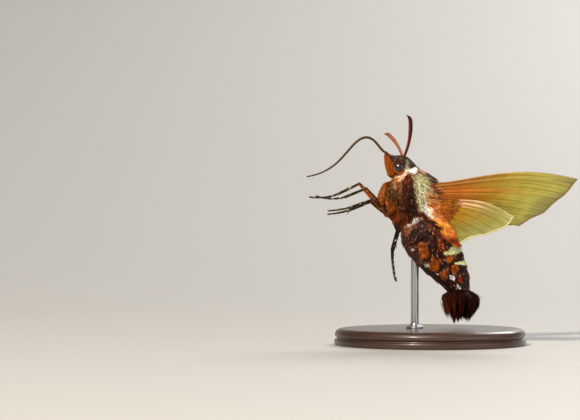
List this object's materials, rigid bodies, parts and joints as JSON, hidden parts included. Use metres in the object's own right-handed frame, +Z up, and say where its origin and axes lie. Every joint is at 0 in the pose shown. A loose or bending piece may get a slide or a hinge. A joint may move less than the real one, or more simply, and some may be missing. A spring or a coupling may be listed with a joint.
{
  "type": "nessus sphinx moth",
  "caption": "Life-size day-flying hawk moth, hovering head up with wings thrown back and long proboscis out, held over a round wooden base by a short rod.",
  "frame": {"origin": "centre of the stand base's flat underside", "axes": "+Z up, the moth's head to -X and its wing tips to +X, its left side to -Y"},
  "size_m": [0.0397, 0.029, 0.0345],
  "materials": {
    "body_fur": "short dark brown fur with olive grey and rust flecks",
    "rust_fur": "short orange rust scales",
    "band_fur": "near black scales with orange spots and two cream yellow bands",
    "tuft_fur": "long dark rust hair scales",
    "wing_scales": "thin scaled membrane, rust at the root to golden olive outwards",
    "horn": "dark red brown chitin",
    "eye": "glossy dark red brown",
    "leg_scales": "dark brown scales with cream flecks",
    "base_wood": "dark stained and satin lacquered",
    "rod_steel": "brushed"
  },
  "bodies": {
    "root": {"eye_left": "eye", "palp_left": "rust_fur", "antenna_left": "horn", "wing_fore_left": "wing_scales", "wing_hind_left": "wing_scales", "leg_fore_left": "leg_scales", "leg_mid_left": "leg_scales", "leg_hind_left": "leg_scales", "eye_right": "eye", "palp_right": "rust_fur", "antenna_right": "horn", "wing_fore_right": "wing_scales", "wing_hind_right": "wing_scales", "leg_fore_right": "leg_scales", "leg_mid_right": "leg_scales", "leg_hind_right": "leg_scales", "proboscis_base": "horn", "proboscis_middle": "horn", "proboscis_tip": "horn", "head": "body_fur", "thorax": "body_fur", "abdomen": "band_fur", "tail_tuft": "tuft_fur", "stand_base": "base_wood", "stand_rod": "rod_steel"}
  },
  "joints": []
}
